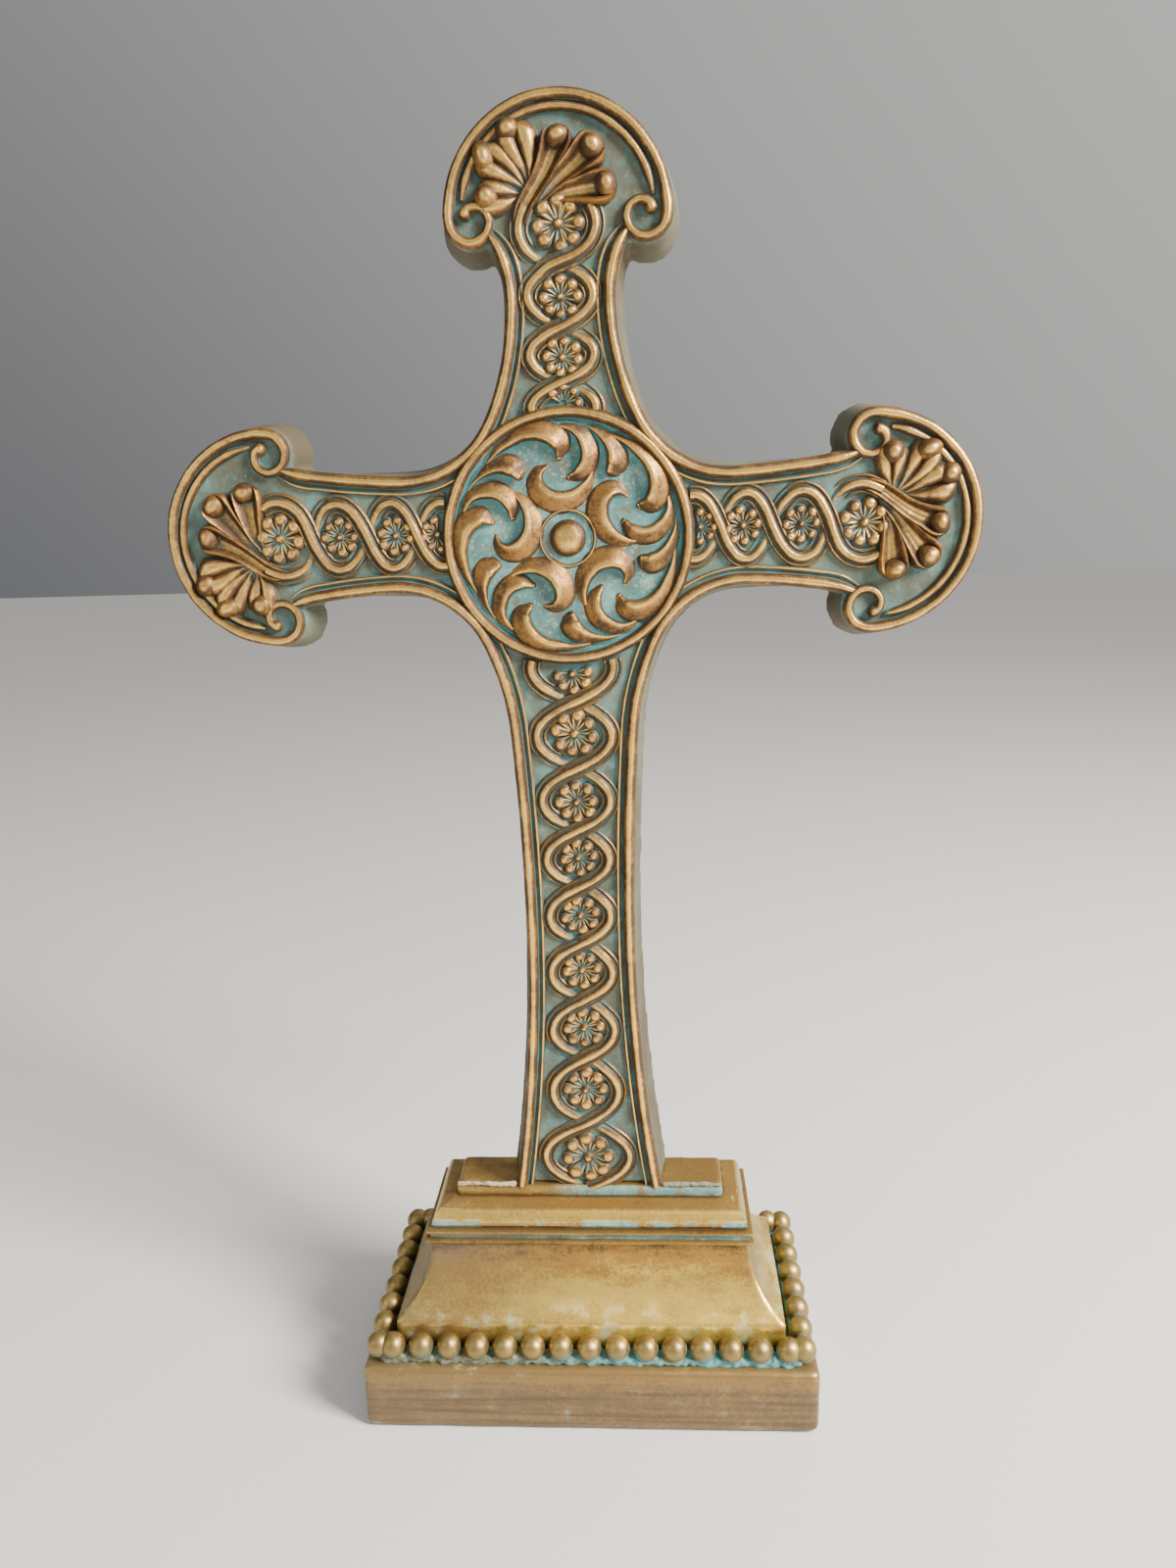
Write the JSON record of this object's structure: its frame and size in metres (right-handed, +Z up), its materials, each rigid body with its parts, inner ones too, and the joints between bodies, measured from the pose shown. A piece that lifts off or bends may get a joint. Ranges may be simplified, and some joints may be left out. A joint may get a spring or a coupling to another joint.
{
  "type": "altar cross",
  "caption": "Free-standing altar cross with lobed arm ends, guilloche and rosette relief, a whirl medallion and a beaded, coved plinth.",
  "frame": {"origin": "middle of the base's underside, on the surface the cross stands on", "axes": "+Z up, the ornamented front faces -Y, +X to the right seen from the front"},
  "size_m": [0.2342, 0.075, 0.391],
  "materials": {
    "painted_wood": "wooden plinth rubbed in brushed bronze-gold paint over brown, verdigris in the grooves",
    "bead_compo": "moulded compo pearls, satin bronze-gold, verdigris between them",
    "verdigris_casting": "cast resin, matt turquoise verdigris over brown in the sunk field",
    "gilt_relief": "cast resin relief, rubbed antique gold on the crests, brown and verdigris in the hollows",
    "filler": "rough hard filler, pale crusted gold",
    "felt": "dark wool felt",
    "steel": "bright zinc-plated steel"
  },
  "bodies": {
    "root": {"base_cove": "painted_wood", "base_felt": "felt", "base_slab": "painted_wood", "bead_string_back": "bead_compo", "bead_string_front": "bead_compo", "bead_string_left": "bead_compo", "bead_string_right": "bead_compo", "cap_moulding": "painted_wood", "cross_body": "verdigris_casting", "edge_lower_left": "gilt_relief", "edge_lower_right": "gilt_relief", "edge_upper_left": "gilt_relief", "edge_upper_right": "gilt_relief", "guilloche_left": "gilt_relief", "guilloche_lower": "gilt_relief", "guilloche_right": "gilt_relief", "guilloche_upper": "gilt_relief", "joint_filler": "filler", "lobe_rim_left": "gilt_relief", "lobe_rim_right": "gilt_relief", "lobe_rim_top": "gilt_relief", "medallion_boss": "gilt_relief", "medallion_disc": "verdigris_casting", "medallion_ring": "gilt_relief", "medallion_scrolls": "gilt_relief", "palmette_left": "gilt_relief", "palmette_right": "gilt_relief", "palmette_top": "gilt_relief", "plinth_block": "painted_wood", "rod_nut": "steel", "rod_washer": "steel", "rosettes_left": "gilt_relief", "rosettes_lower": "gilt_relief", "rosettes_right": "gilt_relief", "rosettes_upper": "gilt_relief", "tie_rod": "steel"}
  },
  "joints": []
}
